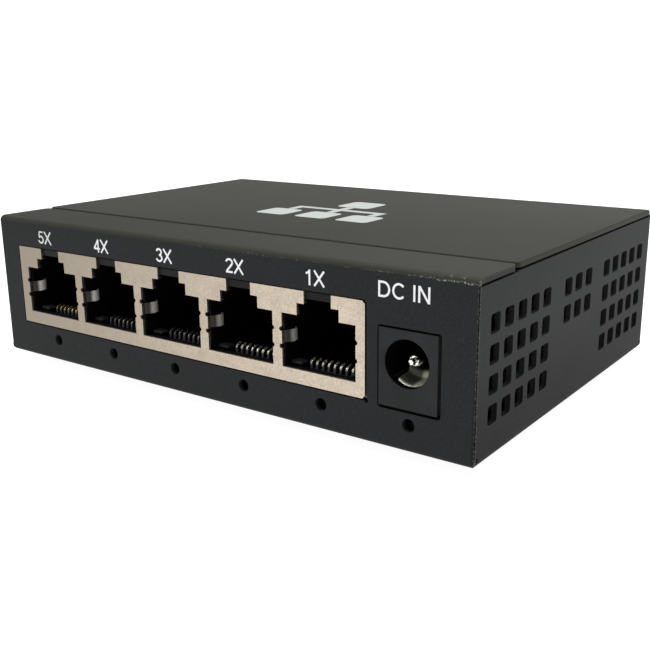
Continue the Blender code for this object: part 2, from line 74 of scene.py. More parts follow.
WIDTH, DEPTH, STRIP_TOP = in_case(CASE_HIGH)
COVER_LOW, COVER_HIGH = case_box("top_cover")
COVER_TOP = COVER_HIGH.z
SHIELD_LOW, SHIELD_HIGH = case_box("jack_shield")
POWER_LOW, POWER_HIGH = case_box("dc_jack_body")

# Cutters run this far past a face, or up to a height above everything.
PAST = 1.0
ABOVE_ALL = 26.0

# Folded sheet: its thickness, the gaps between sheets, the radii of its bends and the strip's corners.
SHEET = 0.8
GAP = 0.3
BEND = 0.75
STRIP_BEND = 1.0
STRIP_CORNER = 1.0
COVER_FRONT = 10.6
COVER_CORNER = 0.8
STRIP_DEPTH = COVER_FRONT - GAP
UNDER_STRIP = STRIP_TOP - SHEET
UNDER_COVER = COVER_TOP - SHEET
SIDE_TOP = UNDER_COVER - GAP
FLANGE_WIDTH = 4.0
FLANGE_LOW = 20.0
SEAM_REACH = 1.5
TONGUE_WIDTH = 12.0
TONGUE_INSET = 16.0

# The slit at each upright corner, and the notch (near, far, low) in the side wall at its foot.
SLIT = 0.12
SLIT_FOOT = 1.25
CORNER_NOTCH = (0.55, 0.95, 0.75)

VENT = 2.6
VENT_CORNER = 0.45
VENT_PITCH_Y = 3.95
VENT_PITCH_Z = 3.97
VENT_LOW_Z = 6.02
VENT_ROWS = 4
VENT_FRONT_Y = 4.6
VENT_COLUMNS = 5
MIDDLE_COLUMNS = 3
MIDDLE_FIRST_ROW = 2

STANDOFF_HOLE = 1.8
SCREW_HOLE = 1.55
KEYHOLE_X = (21.5, 71.0)
KEYHOLE_Y = 36.0
KEYHOLE_HEAD = 3.5
KEYHOLE_NECK = 1.9
KEYHOLE_LONG = 6.5

# Socket openings: half widths of body, shoulder and latch, and the heights where they change.
PORTS = 5
OPENING_HALF = (6.17, 3.5, 2.26)
OPENING_Z = (8.1, 15.9, 17.6, 19.4)
SHIELD_SHEET = 0.4
CAVITY_END = 12.5
LATCH_TOP = 18.3
SHIELD_CUT_TOP = 20.5

# Grounding tabs: their path, from an opening's side edge and the front, and the round bites beside them.
TAB_Z = (11.38, 13.2)
TAB_SHEET = 0.2
TAB_PATH = ((0.5, 0.62), (0.2, 0.75), (-0.12, 1.1), (-0.4, 1.65), (-0.54, 2.25), (-0.44, 2.8))
TAB_PATH += ((-0.1, 3.2), (0.3, 3.4))
BITE = 0.34

RAILS_X = ((-6.3, -4.45), (4.5, 6.3))
RAIL_Y = (2.1, 3.7)
RAIL_Z = (7.9, 8.5)

CONTACTS = 8
CONTACT_PITCH = 1.016
CONTACT_HINGE = (3.7, 8.15)
CONTACT_BEND = 0.42
CONTACT_TIP = (10.8, 11.05)
WIRE_WIDTH = 0.37
WIRE_THICKNESS = 0.3

# Power socket: axis, bore, and the pin's profile as (distance from its tip, radius).
POWER_X = middle_of("dc_center_pin")[0] - 0.18
POWER_AXIS_Z = 11.98
POWER_BORE = 3.25
POWER_BORE_END = 10.0
POWER_END = 15.0
PIN_TIP = case_box("dc_center_pin")[0].y - 0.9
PIN_RADIUS = 0.85
PIN_PROFILE = ((0.0, 0.08), (0.06, 0.34), (0.25, 0.47), (0.55, 0.5), (0.65, 0.36), (0.85, 0.36))
PIN_PROFILE += ((0.9, 0.68), (1.1, 0.83), (1.5, PIN_RADIUS))

# The leaf's upper face as (y, z) from its fixed end to its lip, and how it curves across.
LEAF_PATH = ((13.2, 8.5), (10.6, 8.5), (8.2, 9.2), (6.4, 9.75), (5.1, 9.95), (4.55, 9.85), (4.3, 9.5))
LEAF_PATH += ((4.1, 9.1), (3.8, 8.9), (3.1, 8.82), (2.3, 8.74), (1.65, 8.6), (1.42, 8.35), (1.36, 8.05))
LEAF_SHEET = 0.22
LEAF_CURVE = 3.15
LEAF_SIDES = (-2.05, 2.2)
LEAF_COLUMNS = 13
LEAF_CURVE_START = 10.6
LEAF_CURVE_RUN = 3.0
LEAF_ROOM_HALF = 2.45
LEAF_ROOM_FRONT = 1.05
LEAF_ROOM_Z = (6.8, 10.2)

LAMP_Z = 3.8
LAMP_HOLE = 0.93

LABEL_Z = (20.35, 22.47)
LABEL_FIRST_X = 11.88
LABEL_PITCH = 14.1
POWER_LABEL_Z = (20.28, 22.40)
POWER_LABEL_X = 82.1
STROKE = 0.14
PRINT = 0.012

EMBLEM_MIDDLE = (47.6, 35.4)
EMBLEM_COLUMNS = (-8.4, 0.0, 8.4)
BUS_HALF = 0.75

FOOT_PROFILE = ((-0.02, 4.35), (-0.30, 4.5), (-1.05, 4.5), (-1.3, 4.38), (-1.46, 4.1))
FOOT_PROFILE += ((-1.5, 3.8), (-1.5, 0.6))
SCREW_HEAD = 2.7
SCREW_RIM = 0.25
SCREW_DOME = 1.05
SCREW_CROSS = (1.5, 0.34)

# The camera in case millimetres, and the stage in metres.
CAMERA_PLACE = (139.37, -94.78, 47.74)
CAMERA_FORWARD = (-0.56948, 0.77754, -0.26670)
CAMERA_RIGHT = (0.80846, 0.58846, -0.01070)
CAMERA_LENS = 50.662
FLOOR_RADIUS = 4.0
FLOOR_GLOW = 0.95
HORIZON_LIGHT = (1.05, 1.05, 1.05)
UPPER_LIGHT = (0.30, 0.312, 0.285)


def port_x(index):
    return middle_of(f"port_housing_{index + 1}")[0]


# ---- shapes, as bmesh in case millimetres ----

def box(low, high):
    shape = bmesh.new()
    bmesh.ops.create_cube(shape, size=1.0)
    bmesh.ops.scale(shape, verts=shape.verts, vec=Vector(high) - Vector(low))
    bmesh.ops.translate(shape, verts=shape.verts, vec=(Vector(high) + Vector(low)) / 2)
    return shape


def prism(outline, axis, low, high):
    """The outline's points are in the two other directions, in x, y, z order."""
    shape = bmesh.new()
    corners = []
    for first, second in outline:
        point = [first, second]
        point.insert(axis, low)
        corners.append(shape.verts.new(point))
    base = shape.faces.new(corners)
    grown = bmesh.ops.extrude_face_region(shape, geom=[base])
    moved = [item for item in grown["geom"] if isinstance(item, bmesh.types.BMVert)]
    shift = [0.0, 0.0, 0.0]
    shift[axis] = high - low
    bmesh.ops.translate(shape, verts=moved, vec=shift)
    bmesh.ops.recalc_face_normals(shape, faces=shape.faces)
    return shape


def skinned(shape, rings):
    """Closes rings of points, end to end, into one solid."""
    for lower, upper in zip(rings, rings[1:]):
        for index in range(len(lower)):
            after = (index + 1) % len(lower)
            shape.faces.new((lower[index], lower[after], upper[after], upper[index]))
    shape.faces.new(rings[0])
    shape.faces.new(rings[-1])
    bmesh.ops.recalc_face_normals(shape, faces=shape.faces)
    return shape


def turned(profile, centre, axis, sides=48):
    """A turned solid: profile is (distance along the axis, radius), end to end."""
    shape = bmesh.new()
    rings = []
    for along, radius in profile:
        ring = []
        for index in range(sides):
            angle = 2.0 * math.pi * index / sides
            point = [centre[0] + radius * math.cos(angle), centre[1] + radius * math.sin(angle)]
            point.insert(axis, along)
            ring.append(shape.verts.new(point))
        rings.append(ring)
    return skinned(shape, rings)


def with_directions(path):
    """Each point of a path, with the path's direction there."""
    points = [Vector(point) for point in path]
    for point, before, after in zip(points, points[:1] + points, points[1:] + points[-1:]):
        yield point, (after - before).normalized()


def swept(path, wide, thick):
    """A bar of rounded section along a path of points; its width lies along x."""
    shape = bmesh.new()
    across = Vector((1.0, 0.0, 0.0))
    corner = min(wide, thick) * 0.32
    section = rounded_outline((-wide / 2, -thick / 2), (wide / 2, thick / 2), corner, 2)
    rings = []
    for point, along in with_directions(path):
        up = along.cross(across).normalized()
        rings.append([shape.verts.new(point + across * a + up * b) for a, b in section])
    return skinned(shape, rings)


def joined(shapes):
    whole = bmesh.new()
    for shape in shapes:
        spare = bpy.data.meshes.new("spare")
        shape.to_mesh(spare)
        shape.free()
        whole.from_mesh(spare)
        bpy.data.meshes.remove(spare)
    return whole


def bevel_where(shape, test, width, segments):
    """Rounds the edges whose two ends both pass the test."""
    edges = [edge for edge in shape.edges if all(test(vert.co) for vert in edge.verts)]
    bmesh.ops.bevel(shape, geom=edges, offset=width, segments=segments, profile=0.5, affect="EDGES")


def rounded_outline(low, high, radius, segments):
    left, right = low[0] + radius, high[0] - radius
    lower, upper = low[1] + radius, high[1] - radius
    points = []
    for quarter, middle in enumerate(((right, upper), (left, upper), (left, lower), (right, lower))):
        start = 90.0 * quarter
        points += arc(middle, (radius, radius), start, start + 90.0, segments)
    return points


def arc(middle, radii, start, end, steps=14):
    """Points along part of an ellipse, between two angles in degrees."""
    points = []
    for step in range(steps + 1):
        angle = math.radians(start + (end - start) * step / steps)
        points.append((middle[0] + radii[0] * math.cos(angle), middle[1] + radii[1] * math.sin(angle)))
    return points


def smooth_path(points, steps):
    """Points along a Catmull-Rom curve through the given ones."""
    ends = [Vector(points[0]) * 2 - Vector(points[1]), *map(Vector, points)]
    ends.append(Vector(points[-1]) * 2 - Vector(points[-2]))
    found = []
    for a, b, c, d in zip(ends, ends[1:], ends[2:], ends[3:]):
        for step in range(steps):
            t = step / steps
            cubic = -a + 3.0 * b - 3.0 * c + d
            square = 2.0 * a - 5.0 * b + 4.0 * c - d
            found.append((2.0 * b + (c - a) * t + square * t * t + cubic * t ** 3) / 2)
    found.append(Vector(points[-1]))
    return found


def strip_outline(path, thickness):
    """The outline of a thin strip that follows a path of points in a plane."""
    left, right = [], []
    for point, along in with_directions(path):
        side = Vector((-along.y, along.x)) * thickness / 2
        left.append(tuple(point + side))
        right.append(tuple(point - side))
    return left + right[::-1]


# ---- objects ----

def linked(name, data):
    obj = bpy.data.objects.new(name, data)
    bpy.context.scene.collection.objects.link(obj)
    return obj


def place(name, shape, surface):
    """The shape as an object in the frame's metres."""
    bmesh.ops.scale(shape, verts=shape.verts, vec=(MM, MM, MM))
    bmesh.ops.translate(shape, verts=shape.verts, vec=CASE_LOW)
    mesh = bpy.data.meshes.new(name)
    shape.to_mesh(mesh)
    shape.free()
    if surface:
        mesh.materials.append(surface)
    return linked(name, mesh)


def carve(obj, shape, operation="DIFFERENCE"):
    """Cuts the shape from the object's mesh, or joins it on, and leaves no modifier behind."""
    helper = place("helper", shape, None)
    step = obj.modifiers.new("step", "BOOLEAN")
    step.operation = operation
    step.solver = "EXACT"
    step.object = helper
    keep_evaluated(obj)
    spare = helper.data
    bpy.data.objects.remove(helper)
    bpy.data.meshes.remove(spare)


def keep_evaluated(obj):
    """Puts the mesh that the modifiers give in place of the mesh and the modifiers."""
    graph = bpy.context.evaluated_depsgraph_get()
    made = bpy.data.meshes.new_from_object(obj.evaluated_get(graph))
    old = obj.data
    made.name = old.name
    obj.modifiers.clear()
    obj.data = made
    bpy.data.meshes.remove(old)


def soften(obj, width, segments=2, angle=32.0):
    """Merges flat fragments, rounds the sharp edges a little and shades the rest smooth."""
    shape = bmesh.new()
    shape.from_mesh(obj.data)
    bmesh.ops.remove_doubles(shape, verts=shape.verts, dist=1e-7)
    bmesh.ops.dissolve_limit(shape, angle_limit=math.radians(0.5), verts=shape.verts, edges=shape.edges)
    shape.to_mesh(obj.data)
    shape.free()
    step = obj.modifiers.new("edges", "BEVEL")
    step.width = width * MM
    step.segments = segments
    step.limit_method = "ANGLE"
    step.angle_limit = math.radians(angle)
    step.use_clamp_overlap = True
    step.harden_normals = True
    obj.data.shade_smooth()
    keep_evaluated(obj)


def smooth(obj, angle=35.0):
    obj.data.shade_smooth()
    obj.data.set_sharp_from_angle(angle=math.radians(angle))


def belongs(obj, body, slot, *nodes):
    """The piece rides on a body and stands for these nodes; the slot is not used."""
    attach(obj, body)
    if nodes:
        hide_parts(*nodes)


def refinish(obj, surface, test):
    """Gives the faces whose middle, in case millimetres, passes the test another material, here the
    near-black painted shade.
    """
    obj.data.materials.append(surface)
    number = len(obj.data.materials) - 1
    for face in obj.data.polygons:
        if test(in_case(obj.matrix_world @ face.center)):
            face.material_index = number


# ---- materials ----

CASE_BLACK = (0.0143, 0.0149, 0.0160)
# Painted light: the top's black is a lighter, warmer copy of the case black, standing in for the light
# falling on the top.
TOP_LIT_BLACK = (0.0202, 0.0208, 0.0168)
BARE_EDGE = (0.36, 0.355, 0.335)
COAT_ROUGH = 0.58
COAT_SPECULAR = 0.10
FOLD_Z = 23.55


def scaled(colour, factor):
    return tuple(part * factor for part in colour)


def set_inputs(node, values):
    for socket, value in values.items():
        node.inputs[socket].default_value = value


class Surface:
    """A node material with a few short ways to add detail. Sizes are millimetres."""

    def __init__(self, name, colour, roughness, metallic=0.0, specular=0.5):
        self.material = bpy.data.materials.new(name)
        self.material.use_nodes = True
        self.nodes = self.material.node_tree.nodes
        self.links = self.material.node_tree.links
        self.shader = self.nodes["Principled BSDF"]
        set_inputs(self.shader, {"Base Color": (*colour, 1.0), "Roughness": roughness})
        set_inputs(self.shader, {"Metallic": metallic, "Specular IOR Level": specular})
        self.colour = colour
        self.place = self.nodes.new("ShaderNodeTexCoord").outputs["Object"]
        self.axes = None

    def link(self, source, node, socket):
        self.links.new(source, node.inputs[socket])

    def mapped(self, scale, shift=(0.0, 0.0, 0.0)):
        """The place on the object, scaled and shifted."""
        made = self.nodes.new("ShaderNodeMapping")
        set_inputs(made, {"Scale": scale, "Location": shift})
        self.link(self.place, made, "Vector")
        return made.outputs["Vector"]

    def noise(self, size, detail=2.0, rough=0.5, stretch=(1.0, 1.0, 1.0)):
        """Noise whose blotches are about this size."""
        made = self.nodes.new("ShaderNodeTexNoise")
        set_inputs(made, {"Scale": 1.0, "Detail": detail, "Roughness": rough})
        self.link(self.mapped([part / (size * MM) for part in stretch]), made, "Vector")
        return made.outputs["Fac"]

    def axis(self, number):
        """Case millimetres along one axis."""
        if self.axes is None:
            self.axes = self.nodes.new("ShaderNodeSeparateXYZ")
            grid = self.mapped((1.0 / MM,) * 3, [-part / MM for part in CASE_LOW])
            self.link(grid, self.axes, "Vector")
        return self.axes.outputs[number]

    def ranged(self, value, low, high, to_low=0.0, to_high=1.0):
        """The value's stretch from low to high, smoothly mapped to the other two numbers."""
        made = self.nodes.new("ShaderNodeMapRange")
        made.interpolation_type = "SMOOTHSTEP"
        set_inputs(made, {"From Min": low, "From Max": high, "To Min": to_low, "To Max": to_high})
        self.link(value, made, "Value")
        return made.outputs["Result"]

    def maths(self, operation, first, second):
        made = self.nodes.new("ShaderNodeMath")
        made.operation = operation
        for index, value in enumerate((first, second)):
            if isinstance(value, (int, float)):
                made.inputs[index].default_value = value
            else:
                self.link(value, made, index)
        return made.outputs["Value"]

    def product(self, *values):
        result = values[0]
        for value in values[1:]:
            result = self.maths("MULTIPLY", result, value)
        return result

    def tint(self, factor, colour):
        """Mixes another colour into the base colour by the factor."""
        made = self.nodes.new("ShaderNodeMix")
        made.data_type = "RGBA"
        base = self.shader.inputs["Base Color"]
        if base.is_linked:
            self.link(base.links[0].from_socket, made, "A")
        else:
            made.inputs["A"].default_value = (*self.colour, 1.0)
        made.inputs["B"].default_value = (*colour, 1.0)
        self.link(factor, made, "Factor")
        self.links.new(made.outputs["Result"], base)

    def stain(self, colour, value, low, high, amount=1.0):
        """Mixes in another colour as the value runs from low to high."""
        self.tint(self.ranged(value, low, high, 0.0, amount), colour)

    def rough(self, factor, low, high):
        """Roughness that runs between two numbers with the factor."""
        made = self.nodes.new("ShaderNodeMapRange")
        set_inputs(made, {"To Min": low, "To Max": high})
        self.link(factor, made, "Value")
        self.link(made.outputs["Result"], self.shader, "Roughness")

    def bump(self, height, depth, strength=1.0):
        """Relief of this depth; each call adds to the ones before."""
        made = self.nodes.new("ShaderNodeBump")
        set_inputs(made, {"Strength": strength, "Distance": depth * MM})
        self.link(height, made, "Height")
        normal = self.shader.inputs["Normal"]
        if normal.is_linked:
            self.link(normal.links[0].from_socket, made, "Normal")
        self.links.new(made.outputs["Normal"], normal)


def coat(name, colour):
    """Fine-grained powder coat with a few pale specks."""
    made = Surface(name, colour, COAT_ROUGH, specular=COAT_SPECULAR)
    grain = made.noise(0.22, 3.0, 0.6)
    peel = made.noise(0.6)
    broad = made.noise(14.0, 3.0, 0.6)
    made.stain(scaled(colour, 2.0), grain, 0.42, 0.75, 0.55)
    made.stain(scaled(colour, 1.35), broad, 0.35, 0.7, 0.3)
    made.stain(scaled(colour, 6.0), made.noise(0.17, 1.0), 0.70, 0.76, 0.8)
    wear = made.maths("ADD", made.product(grain, 0.6), made.product(broad, 0.4))
    made.rough(wear, COAT_ROUGH - 0.1, COAT_ROUGH + 0.1)
    made.bump(grain, 0.022)
    made.bump(peel, 0.030, 0.8)
    return made


def fold_chips(made, x, y, z):
    """How bare the metal is along the fold over the front: fine chips, and more near the right corner."""
    wander = made.maths("MULTIPLY", made.maths("SUBTRACT", made.noise(3.0, 3.0, 0.6), 0.5), 0.6)
    above_fold = made.maths("SUBTRACT", made.maths("ADD", z, wander), FOLD_Z)
    off_line = made.maths("ABSOLUTE", above_fold, 0.0)
    on_line = made.ranged(off_line, 0.02, 0.09, 1.0, 0.0)
    on_front = made.ranged(y, 0.3, 0.5, 1.0, 0.0)
    speck = made.ranged(made.noise(0.24, 2.0, 0.7), 0.52, 0.60)
    along = made.ranged(made.noise(1.6), 0.42, 0.60)
    chips = made.product(on_line, on_front, made.ranged(x, 30.0, 88.0, 0.0, 0.7), speck, along)
    patch = made.ranged(made.noise(0.26, 4.0, 0.7), 0.53, 0.60)
    near_line = made.ranged(off_line, 0.05, 0.16, 1.0, 0.0)
    corner = made.product(made.ranged(x, 80.0, 88.0), near_line, on_front, patch, 0.75)
    return made.maths("MAXIMUM", chips, corner)


def edge_rubs(made, x, y, z):
    """How bare the metal is on the near upright edge and on the fold's right end."""
    upright = made.product(made.ranged(x, WIDTH - 0.28, WIDTH - 0.1), made.ranged(y, 0.5, 0.2))
    rubbed = made.product(upright, made.ranged(made.noise(0.3, 3.0, 0.7), 0.50, 0.60), 0.25)
    fold = made.product(made.ranged(z, 23.5, 23.7), made.ranged(y, 1.3, 0.8), made.ranged(x, 83.0, 91.0))
    scratch = made.noise(0.3, 3.0, 0.7, (0.5, 1.0, 1.0))
    scuffs = made.product(fold, made.ranged(scratch, 0.58, 0.66), 0.3)
    return made.maths("MAXIMUM", rubbed, scuffs)


def case_coat():
    """The case's coat, chipped along the fold at the top of the front and rubbed at the near corner, with
    painted light on the fold and the top, and painted shade low on the right.
    """
    made = coat("case_powder_coat", CASE_BLACK)
    x, y, z = (made.axis(number) for number in range(3))
    # Painted shade: the right side face and the front's right edge darken towards the bottom.
    low_right_shade = made.product(made.ranged(x, WIDTH - 0.6, WIDTH - 0.2), made.ranged(z, 17.0, 1.0))
    made.tint(low_right_shade, (0.005, 0.0052, 0.0056))
    # Painted highlight: a lighter band along the bend over the front, where the overhead light catches it.
    fold_highlight = made.product(made.ranged(z, 23.35, 23.7), made.ranged(y, 1.6, 0.9))
    made.tint(made.product(fold_highlight, 0.8), scaled(TOP_LIT_BLACK, 1.5))
    # Painted light: the top strip takes the lit top colour, and is lighter still towards the right as
    # painted sheen.
    lit_top = made.product(made.ranged(z, 23.9, 24.2), made.ranged(y, 0.9, 1.2))
    made.tint(lit_top, TOP_LIT_BLACK)
    made.tint(made.product(lit_top, made.ranged(x, 20.0, 96.0)), scaled(TOP_LIT_BLACK, 1.45))
    worn = made.maths("MAXIMUM", fold_chips(made, x, y, z), edge_rubs(made, x, y, z))
    made.tint(worn, BARE_EDGE)
    made.bump(made.product(worn, -1.0), 0.03, 0.5)
    return made.material


def cover_coat():
    # Painted light: the cover takes a copy of the lit top colour, and is lighter towards the right as
    # painted sheen.
    made = coat("cover_powder_coat", scaled(TOP_LIT_BLACK, 0.92))
    made.stain(scaled(TOP_LIT_BLACK, 1.35), made.axis(0), 20.0, 96.0, 0.9)
    return made.material


def nickel():
    """Satin nickel on the socket shield, grainy, painted darker towards the left as a painted reflection
    falloff, and painted near-black inside the case as painted shade.
    """
    made = Surface("shield_nickel", (0.60, 0.515, 0.42), 0.42, metallic=1.0)
    cloud = made.noise(1.8, 4.0, 0.65)
    fine = made.noise(0.2, 2.0, 0.7)
    # Painted reflection: darker towards the left, where the shield reflects less light.
    made.stain((0.245, 0.215, 0.172), made.axis(0), 80.0, -4.0, 0.9)
    made.stain((0.32, 0.27, 0.21), cloud, 0.4, 0.72, 0.25)
    made.stain((0.27, 0.23, 0.175), fine, 0.42, 0.62, 0.38)
    made.stain((0.27, 0.22, 0.17), made.noise(0.45, 3.0, 0.7), 0.55, 0.7, 0.35)
    # Painted shade: near-black further back, inside the case.
    made.stain((0.02, 0.02, 0.018), made.axis(1), 3.0, 4.2)
    made.rough(cloud, 0.36, 0.52)
    made.bump(fine, 0.012, 0.9)
    made.bump(cloud, 0.010, 0.4)
    return made.material


def tab_nickel():
    """Duller metal on the grounding tabs, painted lighter on the left ports as painted reflection, and
    painted dark as shade where they come out from behind the shield's face.
    """
    made = Surface("tab_nickel", (0.62, 0.60, 0.55), 0.45, metallic=0.5)
    rolled = made.noise(0.25, 2.0, 0.5, (1.0, 3.0, 0.4))
    # Painted reflection: the tabs of the left ports are painted lighter.
    made.stain((0.99, 0.97, 0.93), made.axis(0), 46.0, 22.0)
    made.stain((0.20, 0.19, 0.17), rolled, 0.4, 0.7, 0.4)
    # Painted shade: dark near the front, where the tabs come out from behind the shield's face.
    made.stain((0.020, 0.014, 0.011), made.axis(1), 2.0, 1.2)
    made.rough(rolled, 0.38, 0.55)
    made.bump(rolled, 0.01)
    return made.material


def contact_gold():
    """Thin gold on the contacts: glossy over the bend and matt below it, with painted shade below the bend
    and on the long beams, and the left ports painted dim and the leftmost yellow as painted reflections.
    """
    made = Surface("contact_gold", (0.95, 0.89, 0.74), 0.25, metallic=0.75)
    blotch = made.noise(0.8, 3.0, 0.6)
    # Painted reflection: the contacts of the three left ports are painted dim, and those of the leftmost
    # port yellow.
    made.stain((0.11, 0.11, 0.10), made.axis(0), 50.0, 42.0, 0.95)
    made.stain((0.66, 0.54, 0.20), made.axis(0), 20.0, 18.0, 0.9)
    made.stain((0.6, 0.54, 0.42), blotch, 0.4, 0.75, 0.4)
    # Painted shade: dim and bluish below the bend, and near-black further back on the long beams.
    made.stain((0.20, 0.21, 0.25), made.axis(2), 8.35, 8.0)
    made.stain((0.012, 0.011, 0.009), made.axis(1), 3.85, 4.3)
    made.rough(made.ranged(made.axis(2), 7.9, 8.35), 0.62, 0.24)
    made.bump(blotch, 0.004, 0.6)
    return made.material


def pin_nickel():
    """Nickel on the power socket's pin, with painted dark patches of reflection between bright spots, and
    painted shade deeper in the bore.
    """
    made = Surface("pin_nickel", (0.95, 0.94, 0.92), 0.2, metallic=1.0)
    patch = made.noise(0.7)
    # Painted reflection: dark patches split the pin's highlight into bright spots.
    made.stain((0.03, 0.028, 0.024), patch, 0.50, 0.56)
    # Painted shade: near-black deeper in the bore.
    made.stain((0.02, 0.02, 0.02), made.axis(1), PIN_TIP + 1.5, PIN_TIP + 2.0)
    made.rough(patch, 0.15, 0.35)
    made.bump(patch, 0.03, 0.6)
    return made.material


def leaf_brass():
    """Pale brass on the power socket's leaf, scratched: bright towards the right, with painted shade on
    the left, in streaks and darkest deeper in.
    """
    made = Surface("leaf_brass", (1.0, 0.98, 0.80), 0.34, metallic=0.3)
    scratch = made.noise(0.35, 3.0, 0.7, (1.0, 0.35, 1.0))
    left = made.ranged(made.axis(0), POWER_X + 0.35, POWER_X - 0.35)
    deep = made.ranged(made.axis(1), 1.6, 2.0)
    # Painted shade: the left is darkened in streaks, and darker still deeper in.
    made.tint(made.product(made.ranged(scratch, 0.5, 0.62, 0.0, 0.6), left), (0.16, 0.16, 0.11))
    made.tint(made.product(left, deep, 0.92), (0.10, 0.10, 0.075))
    made.rough(scratch, 0.22, 0.42)
    made.bump(scratch, 0.03, 0.6)
    return made.material


def painted_inside_shade(name):
    """Near-black plastic as painted shade deep inside a socket, where hardly any light comes back."""
    made = Surface(name, (0.0012, 0.0012, 0.0013), 0.75, specular=0.03)
    grain = made.noise(0.25, 2.0, 0.6)
    made.stain((0.002, 0.002, 0.0022), grain, 0.4, 0.7)
    made.rough(grain, 0.7, 0.85)
    made.bump(grain, 0.008)
    return made.material


def metal(name, colour, roughness, grain_size=0.3):
    """Plain metal with faint blotches."""
    made = Surface(name, colour, roughness, metallic=1.0)
    blotch = made.noise(grain_size * 4.0, 3.0, 0.6)
    made.stain(scaled(colour, 0.72), blotch, 0.4, 0.75, 0.4)
    made.rough(blotch, roughness * 0.8, roughness * 1.35)
    made.bump(made.noise(grain_size), 0.003, 0.6)
    return made.material


def plastic(name, colour, roughness, grain_size=0.2, depth=0.008, specular=0.2):
    """Moulded plastic with a spark-eroded texture."""
    made = Surface(name, colour, roughness, specular=specular)
    grain = made.noise(grain_size, 2.0, 0.6)
    flow = made.noise(3.5, 2.0, 0.5, (1.0, 0.3, 1.0))
    made.stain(scaled(colour, 1.7), flow, 0.35, 0.7, 0.45)
    made.rough(grain, roughness - 0.06, roughness + 0.12)
    made.bump(grain, depth)
    return made.material


def rubber():
    made = Surface("foot_rubber", (0.018, 0.018, 0.018), 0.8, specular=0.3)
    grain = made.noise(0.12, 3.0, 0.7)
    dust = made.noise(1.5, 4.0, 0.65)
    made.stain((0.07, 0.067, 0.06), dust, 0.5, 0.75, 0.5)
    made.rough(grain, 0.7, 0.95)
    made.bump(grain, 0.02)
    return made.material


def ink(name, colour, fade):
    """Screen-printed ink, thin over the coat's grain; fade is how much it thins towards the left."""
    made = Surface(name, colour, 0.55, specular=0.2)
    thin = made.noise(0.18, 3.0, 0.6)
    made.stain(scaled(colour, 0.5), made.axis(0), 34.0, 8.0, fade)
    made.stain(scaled(colour, 0.62), thin, 0.50, 0.72, 0.45)
    made.rough(thin, 0.45, 0.65)
    made.bump(thin, 0.006)
    return made.material


def board_mask():
    """Green solder mask with the shadow of copper tracks under it."""
    made = Surface("board_mask", (0.004, 0.014, 0.007), 0.55, specular=0.08)
    tracks = made.nodes.new("ShaderNodeTexBrick")
    made.link(made.mapped((1.0 / MM,) * 3), tracks, "Vector")
    set_inputs(tracks, {"Scale": 0.35, "Mortar Size": 0.09, "Brick Width": 2.2, "Row Height": 0.35})
    made.tint(made.product(tracks.outputs["Fac"], 0.7), (0.007, 0.027, 0.012))
    made.rough(made.noise(1.2), 0.45, 0.65)
    made.bump(tracks.outputs["Fac"], 0.02, 0.5)
    return made.material


def lamp_lens():
    made = Surface("lamp_lens", (0.0015, 0.002, 0.0015), 0.4, specular=0.05)
    haze = made.noise(0.3)
    made.stain((0.003, 0.004, 0.003), haze, 0.4, 0.7, 0.5)
    made.rough(haze, 0.25, 0.45)
    return made.material


# ---- sheet metal ----

def vent_places():
    """(y, z) of every vent in one side wall."""
    last = DEPTH - VENT_FRONT_Y - (VENT_COLUMNS - 1) * VENT_PITCH_Y
    middle = (DEPTH - (MIDDLE_COLUMNS - 1) * VENT_PITCH_Y) / 2
    groups = (
        (VENT_FRONT_Y, VENT_COLUMNS, 0),
        (middle, MIDDLE_COLUMNS, MIDDLE_FIRST_ROW),
        (last, VENT_COLUMNS, 0),
    )
    for start, columns, first_row in groups:
        for column in range(columns):
            for row in range(first_row, VENT_ROWS):
                yield start + column * VENT_PITCH_Y, VENT_LOW_Z + row * VENT_PITCH_Z


def vent_cutter():
    shapes = []
    for y, z in vent_places():
        half = VENT / 2
        outline = rounded_outline((y - half, z - half), (y + half, z + half), VENT_CORNER, 4)
        shapes.append(prism(outline, 0, -PAST, WIDTH + PAST))
    return joined(shapes)


def lamp_cutter(back):
    names = [f"port_lamp_{index + 1}" for index in range(PORTS)] + ["power_lamp"]
    profile = ((-PAST, LAMP_HOLE), (back, LAMP_HOLE))
    return joined([turned(profile, (middle_of(name)[0], LAMP_Z), 1, 32) for name in names])


def front_cutters():
    """Cut-outs for the shield and the power socket, a relief round at one corner, and the lamp holes."""
    back = SHEET + 0.4
    socket_low = (SHIELD_LOW.x - 0.2, SHIELD_LOW.z - 0.22)
    socket_high = (SHIELD_HIGH.x + 0.28, SHIELD_HIGH.z + 0.16)
    power_low = (POWER_LOW.x - 0.2, POWER_LOW.z - 0.4)
    power_high = (POWER_HIGH.x + 0.5, POWER_HIGH.z + 0.3)
    yield prism(rounded_outline(socket_low, socket_high, 0.3, 4), 1, -PAST, back)
    yield prism(rounded_outline(power_low, power_high, 0.45, 5), 1, -PAST, back)
    relief = 0.32
    relief_middle = (socket_high[0] - 0.06, socket_low[1] + 0.06)
    yield turned(((-PAST, relief), (back, relief)), relief_middle, 1, 24)
    yield lamp_cutter(back)


def slit_cutter(corner, top):
    """The thin slit, from outside to inside, where two walls meet."""
    inward = (1.0 if corner[0] < WIDTH / 2 else -1.0, 1.0 if corner[1] < DEPTH / 2 else -1.0)
    along = Vector(inward).normalized()
    across = Vector((-along.y, along.x)) * SLIT / 2
    start = Vector(corner) - along * 0.5
    end = start + along * 2.4
    outline = [tuple(point) for point in (start + across, end + across, end - across, start - across)]
    return prism(outline, 2, SLIT_FOOT, top)


def notch_cutters():
    """The small notch in each side wall where an upright corner slit ends."""
    near, far, low = CORNER_NOTCH
    for y_low, y_high in ((near, far), (DEPTH - far, DEPTH - near)):
        for x in (0.0, WIDTH):
            yield box((x - 0.5, y_low, low), (x + 0.5, y_high, SLIT_FOOT + 0.05))


